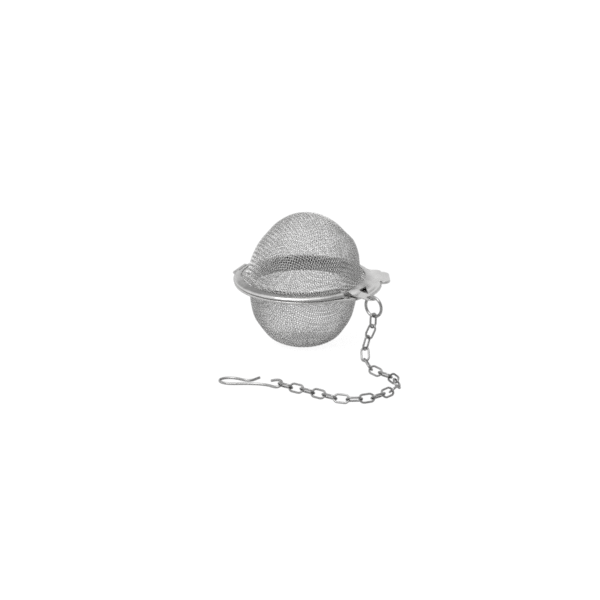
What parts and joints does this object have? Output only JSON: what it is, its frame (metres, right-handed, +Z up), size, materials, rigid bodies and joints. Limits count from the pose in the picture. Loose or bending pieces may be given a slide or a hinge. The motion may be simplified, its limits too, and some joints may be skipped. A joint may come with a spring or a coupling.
{
  "type": "tea infuser",
  "caption": "Hinged mesh tea ball on a flanged snap rim, with a chain and a cup hook to hang it in a cup.",
  "frame": {"origin": "centre of the basket's flat foot, on the table", "axes": "+Z up through the dome; +X towards the latch side, with the thumb tab; -Y towards the side where the chain lies"},
  "size_m": [0.0614, 0.0826, 0.048],
  "materials": {
    "mesh": "woven stainless wire cloth, fine plain weave",
    "rim": "pressed stainless sheet, polished, with fine forming marks",
    "wire": "bright drawn stainless wire",
    "chain": "tumbled stainless wire links"
  },
  "bodies": {
    "lower_half": {"lower_mesh_basket": "mesh", "lower_rim": "rim", "lower_crimp_ring": "rim"},
    "upper_half": {"upper_mesh_dome": "mesh", "upper_rim": "rim", "upper_collar_ring": "rim"},
    "ring": {"jump_ring": "wire"},
    "link_01": {"chain_link_01": "chain"},
    "link_02": {"chain_link_02": "chain"},
    "link_03": {"chain_link_03": "chain"},
    "link_04": {"chain_link_04": "chain"},
    "link_05": {"chain_link_05": "chain"},
    "link_06": {"chain_link_06": "chain"},
    "link_07": {"chain_link_07": "chain"},
    "link_08": {"chain_link_08": "chain"},
    "link_09": {"chain_link_09": "chain"},
    "link_10": {"chain_link_10": "chain"},
    "link_11": {"chain_link_11": "chain"},
    "link_12": {"chain_link_12": "chain"},
    "link_13": {"chain_link_13": "chain"},
    "link_14": {"chain_link_14": "chain"},
    "link_15": {"chain_link_15": "chain"},
    "link_16": {"chain_link_16": "chain"},
    "link_17": {"chain_link_17": "chain"},
    "link_18": {"chain_link_18": "chain"},
    "link_19": {"chain_link_19": "chain"},
    "link_20": {"chain_link_20": "chain"},
    "hook": {"cup_hook": "wire"}
  },
  "joints": [
    {"name": "cap_hinge", "type": "hinge", "parent": "lower_half", "child": "upper_half", "pos_m": [-0.02337, 0.00944, 0.02425], "axis": [-0.3746, -0.9272, 0], "range_deg": [0, 110]},
    {"name": "chain_ring_turn", "type": "hinge", "parent": "upper_half", "child": "ring", "pos_m": [0.02424, -0.02341, 0.0214], "axis": [-0.6947, -0.7193, 0], "range_deg": [-25, 25]},
    {"name": "chain_swing_01", "type": "hinge", "parent": "ring", "child": "link_01", "pos_m": [0.02424, -0.02341, 0.0179], "axis": [0.7193, -0.6947, 0], "range_deg": [-30, 30]},
    {"name": "chain_swing_02", "type": "hinge", "parent": "link_01", "child": "link_02", "pos_m": [0.02419, -0.02346, 0.0138], "axis": [0.6946, 0.7192, -0.0156], "range_deg": [-30, 30]},
    {"name": "chain_swing_03", "type": "hinge", "parent": "link_02", "child": "link_03", "pos_m": [0.02242, -0.02357, 0.0099], "axis": [-0.6853, 0.6785, 0.2647], "range_deg": [-30, 30]},
    {"name": "chain_swing_04", "type": "hinge", "parent": "link_03", "child": "link_04", "pos_m": [0.02124, -0.02547, 0.00625], "axis": [-0.514, -0.6973, 0.4996], "range_deg": [-30, 30]},
    {"name": "chain_swing_05", "type": "hinge", "parent": "link_04", "child": "link_05", "pos_m": [0.02156, -0.02856, 0.00328], "axis": [0.8793, -0.3114, 0.3605], "range_deg": [-30, 30]},
    {"name": "chain_swing_06", "type": "hinge", "parent": "link_05", "child": "link_06", "pos_m": [0.02342, -0.03203, 0.00155], "axis": [0.467, 0.5885, -0.6599], "range_deg": [-30, 30]},
    {"name": "chain_swing_07", "type": "hinge", "parent": "link_06", "child": "link_07", "pos_m": [0.02654, -0.03498, 0.0013], "axis": [-0.5342, -0.4426, -0.7202], "range_deg": [-30, 30]},
    {"name": "chain_swing_08", "type": "hinge", "parent": "link_07", "child": "link_08", "pos_m": [0.02993, -0.03754, 0.00134], "axis": [-0.4326, -0.5594, 0.7071], "range_deg": [-30, 30]},
    {"name": "chain_swing_09", "type": "hinge", "parent": "link_08", "child": "link_09", "pos_m": [0.0316, -0.0415, 0.00134], "axis": [0.6394, 0.302, 0.7071], "range_deg": [-30, 30]},
    {"name": "chain_swing_10", "type": "hinge", "parent": "link_09", "child": "link_10", "pos_m": [0.03129, -0.04579, 0.00134], "axis": [0.7068, -0.0215, -0.7071], "range_deg": [-30, 30]},
    {"name": "chain_swing_11", "type": "hinge", "parent": "link_10", "child": "link_11", "pos_m": [0.02907, -0.04946, 0.00134], "axis": [-0.6201, 0.3399, -0.7071], "range_deg": [-30, 30]},
    {"name": "chain_swing_12", "type": "hinge", "parent": "link_11", "child": "link_12", "pos_m": [0.02601, -0.05244, 0.00134], "axis": [-0.5056, 0.4943, 0.7071], "range_deg": [-30, 30]},
    {"name": "chain_swing_13", "type": "hinge", "parent": "link_12", "child": "link_13", "pos_m": [0.02242, -0.05473, 0.00134], "axis": [0.392, -0.5885, 0.7071], "range_deg": [-30, 30]},
    {"name": "chain_swing_14", "type": "hinge", "parent": "link_13", "child": "link_14", "pos_m": [0.01837, -0.05607, 0.00134], "axis": [0.2373, -0.6661, -0.7071], "range_deg": [-30, 30]},
    {"name": "chain_swing_15", "type": "hinge", "parent": "link_14", "child": "link_15", "pos_m": [0.0141, -0.05615, 0.00134], "axis": [-0.0326, 0.7063, -0.7071], "range_deg": [-30, 30]},
    {"name": "chain_swing_16", "type": "hinge", "parent": "link_15", "child": "link_16", "pos_m": [0.01003, -0.05484, 0.00134], "axis": [0.1955, 0.6795, 0.7071], "range_deg": [-30, 30]},
    {"name": "chain_swing_17", "type": "hinge", "parent": "link_16", "child": "link_17", "pos_m": [0.00642, -0.05259, 0.00134], "axis": [-0.3604, -0.6084, 0.7071], "range_deg": [-30, 30]},
    {"name": "chain_swing_18", "type": "hinge", "parent": "link_17", "child": "link_18", "pos_m": [0.00285, -0.05027, 0.00134], "axis": [-0.3826, -0.5947, -0.7071], "range_deg": [-30, 30]},
    {"name": "chain_swing_19", "type": "hinge", "parent": "link_18", "child": "link_19", "pos_m": [-0.00081, -0.04811, 0.00134], "axis": [0.3614, 0.6078, -0.7071], "range_deg": [-30, 30]},
    {"name": "chain_swing_20", "type": "hinge", "parent": "link_19", "child": "link_20", "pos_m": [-0.00446, -0.04593, 0.00134], "axis": [0.363, 0.6068, 0.7071], "range_deg": [-30, 30]},
    {"name": "hook_swing", "type": "hinge", "parent": "link_20", "child": "hook", "pos_m": [-0.00812, -0.04377, 0.00134], "axis": [-0.359, -0.6092, 0.7071], "range_deg": [-30, 30]}
  ]
}
